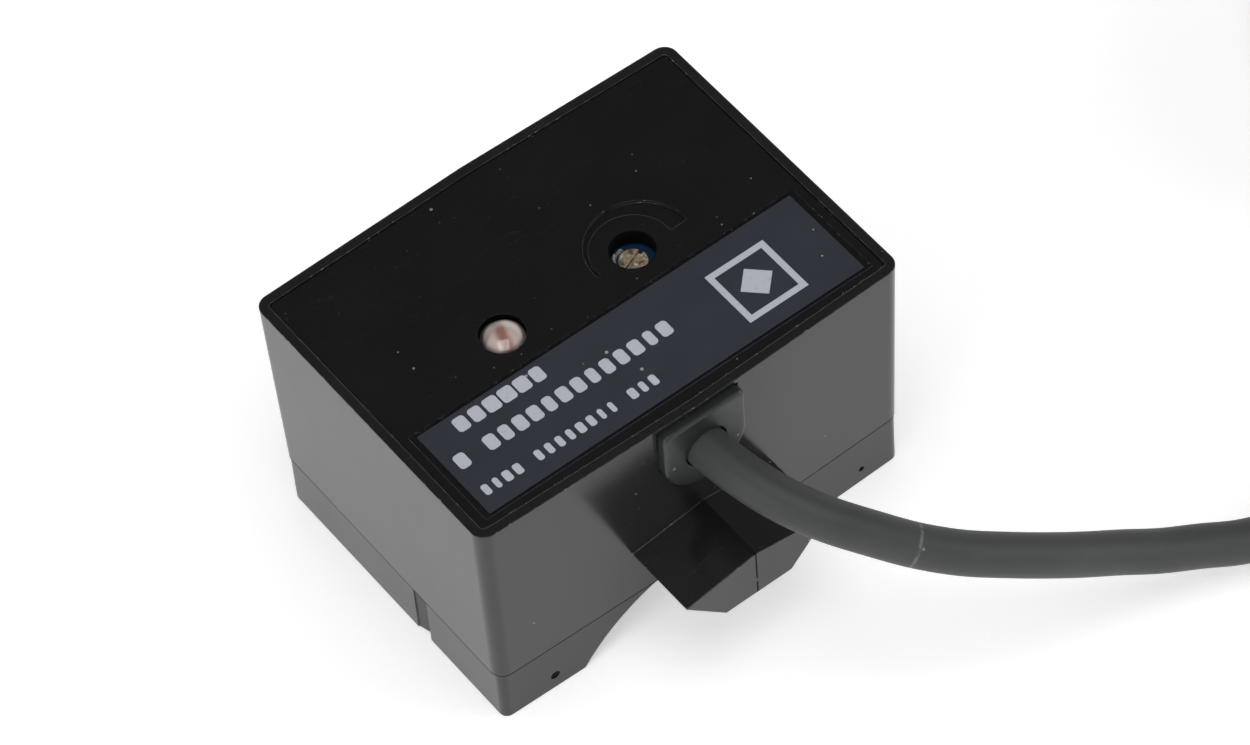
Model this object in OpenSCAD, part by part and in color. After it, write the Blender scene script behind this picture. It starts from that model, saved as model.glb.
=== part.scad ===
// Capacitive proximity sensor that straps onto a pipe.
// X runs along the case, Y from the cable side to the back, Z up from the feet. Millimetres.

/* [Case] */
// Length of the case along X, at its top edge
case_l = 44; // [43:0.5:48]
// Width of the case along Y, at its corners
case_w = 31.8; // [31:0.2:36]
// Height of the rim above the feet
case_h = 27; // [26.5:0.1:28]
// Height of the joint between base and case
base_h = 6.1; // [6:0.1:6.5]
// How far the long walls bulge at their middle
wall_bulge = 0.46; // [0.2:0.02:0.6]
// Radius of the upright corners
corner_r = 1.3; // [1:0.1:1.8]
// Thickness of the case wall
wall = 1.3; // [1.2:0.05:1.4]
// How far each wall leans in from the rim down to the joint
lean = 0.31; // [0.1:0.01:0.4]

/* [Top panel] */
// Width of the rim round the panel
rim_w = 0.9; // [0.8:0.05:1]
// Thickness of the panel
panel_t = 1.6; // [1.4:0.1:1.8]
// Place of the lamp along X
lamp_x = -7.8; // [-9:0.1:-7]
// Diameter of the lamp lens
lamp_d = 4; // [3.6:0.1:4.4]
// Place of the adjuster along X
adjuster_x = 5.9; // [5.5:0.1:6.5]
// Diameter of the hole over the adjuster
adjuster_hole_d = 4; // [3.6:0.1:4.4]
// Inner radius of the engraved arc
arc_in_r = 3.75; // [3.5:0.05:3.9]
// Outer radius of the engraved arc
arc_out_r = 4.78; // [4.6:0.02:4.9]
// How far the arc's outer circle is shifted, which makes it taper
arc_shift = 0.72; // [0.5:0.02:0.8]

/* [Label] */
// Length of the label
label_l = 39.2; // [36:0.2:39.6]
// Width of the label
label_w = 10; // [9:0.1:10.2]
// Place of the label's middle along Y
label_y = -8.95; // [-9.1:0.05:-8.8]

/* [Pipe saddle] */
// Radius of the saddle
saddle_r = 16.2; // [15.5:0.1:16.5]
// How far the saddle's axis is below the feet
saddle_drop = 9.6; // [9.2:0.1:10]
// Height of the flat crown that the pipe touches
crown_z = 5.75; // [5.5:0.05:5.75]

/* [Band tongues] */
// How far each tongue stands out of its wall
tongue_l = 7; // [5:0.5:8]
// Width of a tongue at its shoulders
tongue_w = 15; // [12:0.5:16]
// Width of a tongue's narrow underside
tongue_foot_w = 7; // [5:0.5:8]

/* [Cable] */
// Diameter of the cable
cable_d = 3.9; // [3.6:0.1:4]
// Diameter of one insulated conductor
core_d = 1.2; // [1:0.1:1.3]
// Height of the cable's axis where it leaves the case
exit_z = 22.2; // [22:0.1:22.4]
// Radius of the coil at the middle of its turns
coil_r = 20.2; // [19.5:0.1:21]
// Place of the coil's axis along X
coil_x = 97; // [96:0.5:99]
// Place of the coil's axis along Y
coil_y = -18; // [-18.5:0.25:-17.5]

/* [Hidden] */
$fn = 64;
over = 1;

// Case and base
panel_top = case_h - 0.1;
panel_bottom = panel_top - panel_t;
panel_inset = rim_w + 0.1;
ledge_top = panel_bottom - 0.5;
ledge_bottom = ledge_top - 1;
ledge_inset = wall + 1;
base_inset = lean + 0.2;
spigot_inset = wall + 0.05;
spigot_t = 1;
spigot_h = 2;
saddle_t = 1.2;
floor_t = 1.2;
seal_z = base_h + 1.1;
seal_h = 0.7;
seal_t = 0.5;
notch_y = -3.95;
notch_w = 1.85;
notch_depth = 0.62;
notch_step = 0.12;
front_y = -case_w / 2 - wall_bulge;
pit_x = [-16.1, 17.3];
pit_r = [0.47, 0.3];
pit_z = 1.7;
pit_floor_y = front_y + 1.15;
tongue_end = case_w / 2 + wall_bulge + tongue_l;
tongue_root = case_w / 2 - wall + 0.6;
tongue_shoulder_z = 12.2;
tongue_ridge_z = 13.5;
tongue_foot_z = 8;
stop_size = 3;

// Board and what stands on it
board_z = 18.8;
board_t = 1.2;
board_top = board_z + board_t;
board_l = 40.4;
board_w = 28.2;
board_notch_w = 12.4;
board_notch_y = -8.5;
post_x = 17.8;
post_y = 11.2;
post_r = 1.3;
pin_r = 0.3;
pin_gap = 0.1;
pin_end = board_z - 1.3;
solder_h = 1;
solder_low_r = 0.12;
solder_high_r = 0.35;
arc_depth = 0.25;
label_t = 0.15;
recess_depth = 0.2;

// Lamp
lamp_pitch = 1.27;
lamp_leg_r = 0.25;
lens_bottom = 24.3;
lens_shoulder = 26.5;
lens_rise = 0.75;
core_r = 1.5;
core_bottom = 22.5;
core_top = 26;
cup_r = 1.15;
cup_depth = 0.5;

// Adjuster
body_side = 6.4;
body_top = 25;
body_bore_r = 1.3;
neck_r = 0.55;
neck_bottom = 23.4;
neck_top = 24.2;
chamber_r = 2.5;
rotor_r = 1.25;
rotor_bottom = neck_top + 0.05;
rotor_top = 25.4;
shaft_r = 0.5;
shaft_end = 21.5;
slot_w = 0.45;
slot_depth = 0.5;
slot_angle = 21;
track_r = 2.45;
track_z = 20.1;
track_t = 0.8;
wiper_r = 2.1;
wiper_z = 21.6;
wiper_t = 0.2;
brush_r = 0.3;
brush_place = 1.6;
brush_gap = 0.05;

// Sensing parts
electrode_t = 0.3;
electrode_half_l = 11;
electrode_half_w = 11;
electrode_top = crown_z + saddle_t + electrode_t;
holder_l = 25;
holder_w = 24;
holder_rib = 2;
holder_bottom = 2;
holder_top = 12;
pin_above_board = 0.7;
shield_hole_r = 1;
shield_l = 30;
shield_w = 24;
shield_t = 0.4;
electrode_pin_at = [3, 6];
shield_pin_at = [-11, 7];

// Bushing and cable
bushing_half_w = 4.2;
bushing_front = front_y - 0.9;
bushing_top = case_h - 0.5;
bushing_shoulder_y = front_y + 0.85;
flange_half_w = 5.3;
flange_top = ledge_top - 0.1;
flange_front = front_y + wall + 0.1;
flange_back = flange_front + 1.05;
mouth_r = cable_d / 2 + 0.4;
mouth_depth = 0.9;
crimp_r = 3;
crimp_l = 2.4;
stub_end = -9.5;
pad_y = -5.9;
pad_pitch = 2.5;
pad_shift = 0.5;
pad_r = 0.9;
pad_top_r = 0.4;

// The cable's route from the bushing to the coil, with the floor at z = 0
rest_z = cable_d / 2;
route = [
    [0, bushing_front, exit_z],
    [0.6, -21.2, 21.9],
    [1.8, -24.9, 21.3],
    [3.7, -28.2, 20.4],
    [6.2, -31.1, 19.2],
    [8.9, -33.6, 17.7],
    [12, -35.6, 16],
    [15.2, -37, 14.3],
    [18.5, -38.3, 12.6],
    [21.9, -39.4, 10.8],
    [25.3, -40.4, 9.1],
    [28.7, -41.5, 7.4],
    [32.3, -42.6, 6],
    [35.8, -43.8, 4.7],
    [39.6, -44.7, 3.7],
    [43.4, -45.3, 2.9],
    [47.3, -45.6, 2.3],
    [51.2, -45.7, 2],
    [55.2, -45.6, rest_z],
    [60.2, -45.3, rest_z],
    [65.2, -44.9, rest_z],
    [70.2, -44.4, rest_z],
    [75.2, -43.8, rest_z],
    [80.2, -43.2, rest_z],
    [85.6, -42.7, rest_z],
    [91, -42.3, rest_z]
];

// Coil, its tie and the free ends of the conductors, which lie on its inner turns
coil_in_r = coil_r - 1.5 * cable_d;
coil_out_r = coil_r + 1.5 * cable_d;
coil_low_top = 2 * cable_d;
coil_top = 3 * cable_d;
coil_high_in_r = coil_r - cable_d / 2;
tie_t = 0.6;
tie_w = 4;
tie_angle = 130;
lead_r = core_d / 2;
lead_z = coil_low_top + lead_r + 0.05;
lead_start = 216;
lead_length = 34;
lead_gap = 1.25;
lead_out_r = coil_high_in_r - lead_r - 0.15;
tip_length = 5;
tip_r = 0.4;
tube_sides = 8;
core_sides = 8;
core_gap = 0.02;

function unit(v) = v / norm(v);
function along(p, i) = unit(p[min(i + 1, len(p) - 1)] - p[max(i - 1, 0)]);
function ring(p, i, r, n) =
    let (t = along(p, i), s = unit(cross(t, [0, 0, 1])), u = cross(s, t))
    [for (k = [0:n - 1]) p[i] + r * (cos(360 * k / n) * s + sin(360 * k / n) * u)];
function lead_radius(index) = lead_out_r - index * lead_gap;
function turn(index, length) = length / lead_radius(index) * 180 / PI;
function lead_point(index, angle) = [
    coil_x + lead_radius(index) * cos(angle),
    coil_y + lead_radius(index) * sin(angle),
    lead_z
];

// A closed tube of radius r along the points p, with n sides
module tube_along(p, r, n) {
    last = len(p) - 1;
    polyhedron(
        points = [for (i = [0:last]) each ring(p, i, r, n)],
        faces = concat(
            [[for (k = [0:n - 1]) k]],
            [[for (k = [n - 1:-1:0]) last * n + k]],
            [for (i = [0:last - 1], k = [0:n - 1])
                [i * n + k, (i + 1) * n + k, (i + 1) * n + (k + 1) % n]],
            [for (i = [0:last - 1], k = [0:n - 1])
                [i * n + k, (i + 1) * n + (k + 1) % n, i * n + (k + 1) % n]]
        ),
        convexity = 6
    );
}

// The case's plan with bulged long walls and round corners, taken in by inset on every side
module plan(inset) {
    half_l = case_l / 2 - inset;
    half_w = case_w / 2 - inset;
    r = max(corner_r - inset, 0.4);
    slope = atan(wall_bulge / (case_l / 2));
    centre = [half_l - r, half_w + tan(slope) * r - r / cos(slope)];
    touch = centre + r * [sin(slope), cos(slope)];
    polygon([
        [half_l, centre[1]], touch, [0, half_w + wall_bulge], [-touch[0], touch[1]],
        [-half_l, centre[1]], [-half_l, -centre[1]],
        [-touch[0], -touch[1]], [0, -half_w - wall_bulge], [touch[0], -touch[1]],
        [half_l, -centre[1]]
    ]);
    for (x = [-1, 1], y = [-1, 1])
        translate([x * centre[0], y * centre[1]]) circle(r);
}

// A slab of the plan between two heights
module slab(inset, low, high) {
    translate([0, 0, low]) linear_extrude(high - low) plan(inset);
}

// A ring of the plan between two insets and two heights
module plan_ring(outer, inner, low, high) {
    translate([0, 0, low]) linear_extrude(high - low) difference() {
        plan(outer);
        plan(inner);
    }
}

// A block with a round underside about the cable's axis, from one Y to another, up to a height
module u_block(half_w, from_y, to_y, top) {
    translate([0, to_y, exit_z]) rotate([90, 0, 0]) linear_extrude(to_y - from_y) intersection() {
        union() {
            circle(half_w);
            translate([-half_w, 0]) square([2 * half_w, top - exit_z]);
        }
        translate([-half_w, -half_w]) square([2 * half_w, half_w + top - exit_z]);
    }
}

// The saddle's outline along Y, grown outward by a wall
module saddle_prism(grow, half_l) {
    intersection() {
        translate([0, half_l, -saddle_drop]) rotate([90, 0, 0])
            cylinder(r = saddle_r + grow, h = 2 * half_l, $fn = 128);
        translate([-case_l / 2, -half_l - over, -saddle_drop])
            cube([case_l, 2 * (half_l + over), saddle_drop + crown_z + grow]);
    }
}

module tongue() {
    translate([0, -tongue_root, 0]) rotate([90, 0, 0]) linear_extrude(tongue_end - tongue_root)
        polygon([
            [0, tongue_ridge_z], [-tongue_w / 2, tongue_shoulder_z],
            [-tongue_foot_w / 2, tongue_foot_z], [tongue_foot_w / 2, tongue_foot_z],
            [tongue_w / 2, tongue_shoulder_z]
        ]);
}

module corner_stops() {
    intersection() {
        slab(wall - 0.1, board_top, ledge_bottom + 0.1);
        for (x = [-1, 1], y = [-1, 1])
            translate([x * case_l / 2, y * case_w / 2, board_top])
                cube([2 * (stop_size + wall), 2 * (stop_size + wall), 2 * (ledge_bottom - board_top)],
                    center = true);
    }
}

module case_shell() {
    grow_l = 1 - 2 * lean / case_l;
    grow_w = 1 - 2 * lean / case_w;
    color("#1b1c1e") {
        difference() {
            translate([0, 0, case_h]) mirror([0, 0, 1])
                linear_extrude(case_h - base_h, scale = [grow_l, grow_w], slices = 1) plan(0, $fn = 40);
            slab(rim_w, ledge_top, case_h + over);
            slab(ledge_inset, ledge_bottom - over, ledge_top + over);
            slab(wall, base_h - over, ledge_bottom);
            u_block(bushing_half_w + 0.02, bushing_front - over, flange_front, bushing_top);
            u_block(flange_half_w + 0.1, flange_front, flange_back + 0.2, ledge_top + over);
        }
        corner_stops();
        tongue();
        mirror([0, 1, 0]) tongue();
    }
}

module base_posts() {
    for (x = [-1, 1], y = [-1, 1])
        translate([x * post_x, y * post_y, floor_t / 2])
            cylinder(r = post_r, h = board_z - floor_t / 2);
}

// The small round mould marks on the front of the feet, and the ramped pry notches at the ends
module base_marks() {
    for (i = [0, 1])
        translate([pit_x[i], pit_floor_y, pit_z]) rotate([90, 0, 0]) cylinder(r = pit_r[i], h = 2 * over);
    for (side = [0, 1])
        mirror([side, 0, 0]) translate([-case_l / 2 + base_inset, notch_y, -over])
            linear_extrude(base_h + 2 * over) polygon([
                [-over, -notch_w / 2], [notch_depth, -notch_w / 2],
                [notch_step, notch_w / 2], [-over, notch_w / 2]
            ]);
}

module base_cover() {
    color("#1d1e20") {
        difference() {
            union() {
                slab(base_inset, 0, base_h);
                slab(spigot_inset, base_h, base_h + spigot_h);
            }
            saddle_prism(0, case_w);
            difference() {
                slab(spigot_inset + spigot_t, floor_t, base_h + spigot_h + over);
                saddle_prism(saddle_t, case_w);
            }
            plan_ring(spigot_inset - 0.2, spigot_inset + seal_t - 0.05, seal_z, seal_z + seal_h);
            base_marks();
        }
        base_posts();
    }
}

module top_panel() {
    recess_front = label_y - label_w / 2 - 0.35;
    recess_w = label_w + 0.7;
    color("#111214") difference() {
        slab(panel_inset, panel_bottom, panel_top);
        translate([lamp_x, 0, panel_bottom - over])
            cylinder(d = lamp_d + 0.1, h = panel_t + 2 * over);
        translate([adjuster_x, 0, panel_bottom - over])
            cylinder(d = adjuster_hole_d, h = panel_t + 2 * over);
        translate([-label_l / 2 - 0.6, recess_front, panel_top - recess_depth])
            cube([label_l + 1.2, recess_w, recess_depth + over]);
        translate([adjuster_x, 0, panel_top - arc_depth]) difference() {
            translate([arc_shift, 0, 0]) cylinder(r = arc_out_r, h = arc_depth + over);
            translate([0, 0, -over]) cylinder(r = arc_in_r, h = arc_depth + 3 * over);
            translate([-2 * arc_out_r, -2 * arc_out_r - 0.4, -over])
                cube([4 * arc_out_r, 2 * arc_out_r, arc_depth + 3 * over]);
        }
    }
}

module name_label() {
    color("#2c3038") translate([-label_l / 2, label_y - label_w / 2, panel_top - recess_depth])
        cube([label_l, label_w, label_t]);
}

module panel_seal() {
    color("#3a3a3a") plan_ring(panel_inset, panel_inset + 1.1, ledge_top, panel_bottom);
}

module base_seal() {
    color("#3a3a3a") plan_ring(wall, spigot_inset + seal_t - 0.05, seal_z, seal_z + seal_h);
}

module cable_bushing() {
    color("#26292a") difference() {
        union() {
            u_block(bushing_half_w, bushing_front, bushing_shoulder_y, bushing_top);
            u_block(bushing_half_w, bushing_shoulder_y, flange_front, flange_top);
            u_block(flange_half_w, flange_front, flange_back, flange_top);
        }
        translate([0, flange_back + over, exit_z]) rotate([90, 0, 0])
            cylinder(d = cable_d, h = flange_back - bushing_front + 2 * over);
        translate([0, bushing_front + mouth_depth, exit_z]) rotate([90, 0, 0])
            cylinder(r1 = cable_d / 2, r2 = mouth_r, h = mouth_depth);
    }
}

module crimp_ring() {
    color("#b9bcc0") translate([0, flange_back + crimp_l, exit_z]) rotate([90, 0, 0]) difference() {
        cylinder(r = crimp_r, h = crimp_l);
        translate([0, 0, -over]) cylinder(d = cable_d, h = crimp_l + 2 * over);
    }
}

module lamp_lens() {
    lens_r = lamp_d / 2;
    dome_r = (lens_r * lens_r + lens_rise * lens_rise) / (2 * lens_rise);
    color("#e8e4e0", 0.5) translate([lamp_x, 0, 0]) difference() {
        union() {
            translate([0, 0, lens_bottom]) cylinder(r = lens_r, h = lens_shoulder - lens_bottom);
            intersection() {
                translate([0, 0, lens_shoulder + lens_rise - dome_r]) sphere(r = dome_r, $fn = 96);
                translate([0, 0, lens_shoulder - 0.01]) cylinder(r = lens_r, h = lens_rise + over);
            }
        }
        translate([0, 0, lens_bottom - over]) cylinder(r = core_r, h = core_top - lens_bottom + over);
    }
}

module lamp_body() {
    color("#d9b8ac") translate([lamp_x, 0, 0]) difference() {
        translate([0, 0, core_bottom]) cylinder(r = core_r, h = core_top - core_bottom);
        translate([0, 0, core_top - cup_depth])
            cylinder(r1 = cup_r * 0.7, r2 = cup_r, h = cup_depth + 0.01);
    }
}

module lamp_legs() {
    color("#c8ccd0") for (x = [-1, 1])
        translate([lamp_x + x * lamp_pitch / 2, 0, pin_end])
            cylinder(r = lamp_leg_r, h = core_bottom - pin_end);
}

module adjuster_body() {
    color("#1f5fa8") translate([adjuster_x, 0, 0]) difference() {
        translate([-body_side / 2, -body_side / 2, board_top])
            cube([body_side, body_side, body_top - board_top]);
        translate([0, 0, neck_top]) cylinder(r = body_bore_r, h = body_top - neck_top + over);
        translate([0, 0, neck_bottom - over]) cylinder(r = neck_r, h = neck_top - neck_bottom + 2 * over);
        translate([0, 0, board_top - over]) cylinder(r = chamber_r, h = neck_bottom - board_top + over);
    }
}

module adjuster_rotor() {
    color("#b59a6a") translate([adjuster_x, 0, 0]) difference() {
        union() {
            translate([0, 0, rotor_bottom]) cylinder(r = rotor_r, h = rotor_top - rotor_bottom);
            translate([0, 0, shaft_end]) cylinder(r = shaft_r, h = rotor_bottom - shaft_end + 0.1);
        }
        translate([0, 0, rotor_top]) rotate([0, 0, slot_angle])
            cube([3 * rotor_r, slot_w, 2 * slot_depth], center = true);
    }
}

module adjuster_wiper() {
    brush_z = track_z + track_t + brush_gap;
    color("#c9a24a") translate([adjuster_x, 0, 0]) rotate([0, 0, slot_angle]) {
        difference() {
            translate([0, 0, wiper_z]) cylinder(r = wiper_r, h = wiper_t);
            translate([0, 0, wiper_z - over]) cylinder(r = shaft_r, h = wiper_t + 2 * over);
        }
        translate([brush_place, 0, brush_z]) cylinder(r = brush_r, h = wiper_z - brush_z);
    }
}

module adjuster_track() {
    color("#e4ded0") translate([adjuster_x, 0, track_z]) cylinder(r = track_r, h = track_t);
}

adjuster_pin_places = [[-1.8, -1], [1.8, -1], [0, 1.8]];

module adjuster_pins() {
    color("#c8ccd0") for (p = adjuster_pin_places)
        translate([adjuster_x + p[0], p[1], pin_end]) cylinder(r = lamp_leg_r, h = track_z - pin_end);
}

capacitor_at = [14.5, -6.5];
capacitor_pitch = 2;
capacitor_d = 4;
capacitor_h = 3.4;
capacitor_places = [for (x = [-1, 1]) capacitor_at + [x * capacitor_pitch / 2, 0]];
lamp_leg_places = [for (x = [-1, 1]) [lamp_x + x * lamp_pitch / 2, 0]];
adjuster_leg_places = [for (p = adjuster_pin_places) [adjuster_x + p[0], p[1]]];
thin_leg_places = concat(lamp_leg_places, adjuster_leg_places, capacitor_places);
thick_leg_places = [electrode_pin_at, shield_pin_at];

module circuit_board() {
    color("#1f6b3a") difference() {
        translate([-board_l / 2, -board_w / 2, board_z]) cube([board_l, board_w, board_t]);
        translate([-board_notch_w / 2, -board_w / 2 - over, board_z - over])
            cube([board_notch_w, board_notch_y + board_w / 2 + over, board_t + 2 * over]);
        for (p = thin_leg_places)
            translate([p[0], p[1], board_z - over])
                cylinder(r = lamp_leg_r + pin_gap, h = board_t + 2 * over);
        for (p = thick_leg_places)
            translate([p[0], p[1], board_z - over]) cylinder(r = pin_r + pin_gap, h = board_t + 2 * over);
    }
}

chip_at = [-1.5, 9];
chip_l = 5;
chip_w = 4;
chip_h = 1.5;
chip_gap = 0.1;
chip_pitch = 1.27;
lead_w = 0.4;
lead_t = 0.15;
lead_reach = 0.35;
lead_rise = 0.7;
lead_foot = 0.7;

module detector_chip() {
    color("#202124")
        translate([chip_at[0] - chip_l / 2, chip_at[1] - chip_w / 2, board_top + chip_gap])
        cube([chip_l, chip_w, chip_h]);
}

// One bent lead beside a chip: a foot on the board and a shoulder into the chip's side
module bent_lead(x, y, side) {
    translate([x - lead_w / 2, y, board_top]) mirror([0, side < 0 ? 1 : 0, 0]) {
        translate([0, 0, lead_rise]) cube([lead_w, lead_reach + lead_t, lead_t]);
        translate([0, lead_reach, 0]) cube([lead_w, lead_t, lead_rise + lead_t]);
        translate([0, lead_reach, 0]) cube([lead_w, lead_foot, lead_t]);
    }
}

module detector_leads() {
    color("#c8ccd0") for (side = [-1, 1], i = [0:3])
        bent_lead(chip_at[0] + (i - 1.5) * chip_pitch, chip_at[1] + side * chip_w / 2, side);
}

transistor_at = [14, 8];
transistor_l = 4.5;
transistor_w = 2.5;
transistor_pitch = 1.5;

module output_transistor() {
    color("#202124")
        translate([transistor_at[0] - transistor_l / 2, transistor_at[1] - transistor_w / 2,
            board_top + chip_gap])
        cube([transistor_l, transistor_w, chip_h]);
}

module transistor_leads() {
    color("#c8ccd0") {
        for (i = [-1:1])
            bent_lead(transistor_at[0] + transistor_pitch * i, transistor_at[1] - transistor_w / 2, -1);
        bent_lead(transistor_at[0], transistor_at[1] + transistor_w / 2, 1);
    }
}

// A block on the board with its middle over a place
module chip_block(p, size) {
    translate([p[0] - size[0] / 2, p[1] - size[1] / 2, board_top]) cube(size);
}

diode_at = [-15, -8];
diode_size = [4.3, 2.6, 2.1];

module surge_diode() {
    color("#24262a") chip_block(diode_at, diode_size);
}

module smoothing_capacitor() {
    color("#8f979e") {
        translate([capacitor_at[0], capacitor_at[1], board_top])
            cylinder(d = capacitor_d, h = capacitor_h);
        for (p = capacitor_places)
            translate([p[0], p[1], pin_end]) cylinder(r = lamp_leg_r, h = board_top - pin_end + 0.1);
    }
}

chip_capacitor_size = [2, 1.25, 0.8];
chip_capacitor_places = [[-15, 8], [-15, 4], [9.5, 10], [-7.5, 10], [-13, -2], [9.5, -9]];

module chip_capacitors() {
    color("#b08a5a") for (p = chip_capacitor_places) chip_block(p, chip_capacitor_size);
}

resistor_size = [1.6, 0.8, 0.5];
resistor_columns = [-18, 12.5];
resistor_first_y = -1;
resistor_pitch = 1.6;

module chip_resistors() {
    color("#2a2c30") for (x = resistor_columns, i = [0:3])
        chip_block([x, resistor_first_y + resistor_pitch * i], resistor_size);
}

// A cone of solder under the board round a leg
module solder_cone(p, leg_r) {
    translate([p[0], p[1], board_z - solder_h]) difference() {
        cylinder(r1 = leg_r + solder_low_r, r2 = leg_r + solder_high_r, h = solder_h);
        translate([0, 0, -over]) cylinder(r = leg_r, h = 3 * over);
    }
}

module solder_joints() {
    color("#d4d7da") {
        for (p = thin_leg_places) solder_cone(p, lamp_leg_r);
        for (p = thick_leg_places) solder_cone(p, pin_r);
        for (i = [-1:1])
            translate([i * pad_pitch, pad_y + pad_shift, board_top])
                cylinder(r1 = pad_r, r2 = pad_top_r, h = solder_h);
    }
}

module sensing_electrode() {
    color("#c2703a") intersection() {
        difference() {
            saddle_prism(saddle_t + electrode_t, electrode_half_w);
            saddle_prism(saddle_t, case_w);
        }
        translate([-electrode_half_l, -electrode_half_w, 0])
            cube([2 * electrode_half_l, 2 * electrode_half_w, electrode_top + over]);
    }
}

module electrode_holder() {
    color("#d8d4c8") difference() {
        translate([-holder_l / 2, -holder_w / 2, holder_bottom])
            cube([holder_l, holder_w, holder_top - holder_bottom]);
        translate([-holder_l / 2 + holder_rib, -holder_w / 2 + holder_rib, 0])
            cube([holder_l - 2 * holder_rib, holder_w - 2 * holder_rib, holder_top + over]);
        saddle_prism(saddle_t + electrode_t, case_w);
    }
}

module shield_plate() {
    color("#b4b8bb") difference() {
        translate([-shield_l / 2, -shield_w / 2, holder_top]) cube([shield_l, shield_w, shield_t]);
        translate([electrode_pin_at[0], electrode_pin_at[1], holder_top - over])
            cylinder(r = shield_hole_r, h = shield_t + 2 * over);
    }
}

module electrode_pin() {
    color("#c8ccd0") translate([electrode_pin_at[0], electrode_pin_at[1], electrode_top])
        cylinder(r = pin_r, h = board_top + pin_above_board - electrode_top);
}

module shield_pin() {
    color("#c8ccd0") translate([shield_pin_at[0], shield_pin_at[1], holder_top + shield_t])
        cylinder(r = pin_r, h = board_top + pin_above_board - holder_top - shield_t);
}

// A conductor from the cable's inner end down to its pad; index is -1, 0 or 1
module core(index) {
    start_x = index * (core_d / 2 + core_gap);
    start_z = exit_z + (index == 0 ? core_d * 0.6 : -core_d * 0.3);
    pad_x = index * pad_pitch;
    low = board_top + core_d / 2 + 0.05;
    tube_along([
        [start_x, stub_end, start_z],
        [start_x + (pad_x - start_x) * 0.2, stub_end + 0.9, start_z - 0.1],
        [start_x + (pad_x - start_x) * 0.8, stub_end + 1.9, low + 0.4],
        [pad_x, pad_y - 1, low],
        [pad_x, pad_y, low]
    ], core_d / 2 - core_gap, core_sides);
}

module core_brown() {
    color("#6b4226") core(-1);
}

module core_black() {
    color("#202020") core(0);
}

module core_blue() {
    color("#2456a6") core(1);
}

module cable_entry() {
    color("#3d4245") translate([0, stub_end, exit_z]) rotate([90, 0, 0])
        cylinder(d = cable_d, h = stub_end - bushing_front);
}

module cable_run() {
    color("#3d4245") tube_along(route, cable_d / 2, tube_sides);
}

module cable_coil() {
    color("#3d4245") translate([coil_x, coil_y, 0]) rotate_extrude($fn = 96) {
        translate([coil_in_r, 0]) square([coil_out_r - coil_in_r, coil_low_top]);
        translate([coil_high_in_r, coil_low_top - 0.01])
            square([coil_out_r - coil_high_in_r, coil_top - coil_low_top + 0.01]);
    }
}

// The tie's loop round one section of the coil: radius across, height up
module tie_section(grow) {
    polygon([
        [coil_in_r - grow, 0.6 - grow], [coil_out_r + grow, 0.6 - grow],
        [coil_out_r + grow, coil_top + grow], [coil_high_in_r - grow / 2, coil_top + grow],
        [coil_in_r - grow, coil_low_top + grow]
    ]);
}

module coil_tie() {
    color("#181a1c") translate([coil_x, coil_y, 0]) rotate([0, 0, tie_angle])
        translate([0, tie_w / 2, 0]) rotate([90, 0, 0]) linear_extrude(tie_w) difference() {
            tie_section(tie_t);
            tie_section(0);
        }
}

// A conductor's free end on the coil; index counts inward from the outermost
module lead(index) {
    steps = 14;
    sweep = turn(index, lead_length);
    tube_along([for (i = [0:steps]) lead_point(index, lead_start + sweep * i / steps)],
        lead_r, core_sides);
}

module lead_brown() {
    color("#6b4226") lead(0);
}

module lead_black() {
    color("#202020") lead(1);
}

module lead_blue() {
    color("#2456a6") lead(2);
}

module lead_tips() {
    steps = 4;
    color("#d4d7da") for (index = [0:2])
        tube_along([for (i = [0:steps])
            lead_point(index, lead_start + turn(index, lead_length + tip_length * i / steps))],
            tip_r, core_sides);
}

case_shell();
base_cover();
top_panel();
name_label();
panel_seal();
base_seal();
cable_bushing();
crimp_ring();
lamp_lens();
lamp_body();
lamp_legs();
adjuster_body();
adjuster_rotor();
adjuster_wiper();
adjuster_track();
adjuster_pins();
circuit_board();
detector_chip();
detector_leads();
output_transistor();
transistor_leads();
surge_diode();
smoothing_capacitor();
chip_capacitors();
chip_resistors();
solder_joints();
sensing_electrode();
electrode_holder();
shield_plate();
electrode_pin();
shield_pin();
core_brown();
core_black();
core_blue();
cable_entry();
cable_run();
cable_coil();
coil_tie();
lead_brown();
lead_black();
lead_blue();
lead_tips();
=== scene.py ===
"""Pipe-mounted proximity sensor: surfaces, cable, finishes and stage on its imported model."""
import math

import bmesh
import bpy
import numpy as np
from bpy.props import FloatProperty, FloatVectorProperty, IntProperty, PointerProperty
from mathutils import Euler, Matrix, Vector


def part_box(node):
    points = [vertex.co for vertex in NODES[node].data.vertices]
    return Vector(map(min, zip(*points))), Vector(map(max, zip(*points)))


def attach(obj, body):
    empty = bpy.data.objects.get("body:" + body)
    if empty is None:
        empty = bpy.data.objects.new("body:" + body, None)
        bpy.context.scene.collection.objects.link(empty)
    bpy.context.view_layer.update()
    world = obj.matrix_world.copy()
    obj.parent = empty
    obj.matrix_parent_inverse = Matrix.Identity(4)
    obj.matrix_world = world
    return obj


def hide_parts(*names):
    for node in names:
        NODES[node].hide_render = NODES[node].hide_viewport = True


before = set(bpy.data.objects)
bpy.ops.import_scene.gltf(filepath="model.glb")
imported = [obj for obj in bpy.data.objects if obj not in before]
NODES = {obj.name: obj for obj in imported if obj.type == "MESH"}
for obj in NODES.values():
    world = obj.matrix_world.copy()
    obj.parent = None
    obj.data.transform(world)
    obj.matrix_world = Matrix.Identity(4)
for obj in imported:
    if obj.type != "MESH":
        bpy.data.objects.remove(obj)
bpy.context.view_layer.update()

bl_info = {
    "name": "Pipe Proximity Sensor",
    "version": (1, 0, 0),
    "blender": (4, 5, 0),
    "location": "View3D > Sidebar > Sensor",
    "description": "Makes the cable, bushing, lamp, adjuster, label and finishes of a pipe proximity sensor",
    "category": "Object",
}

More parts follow.
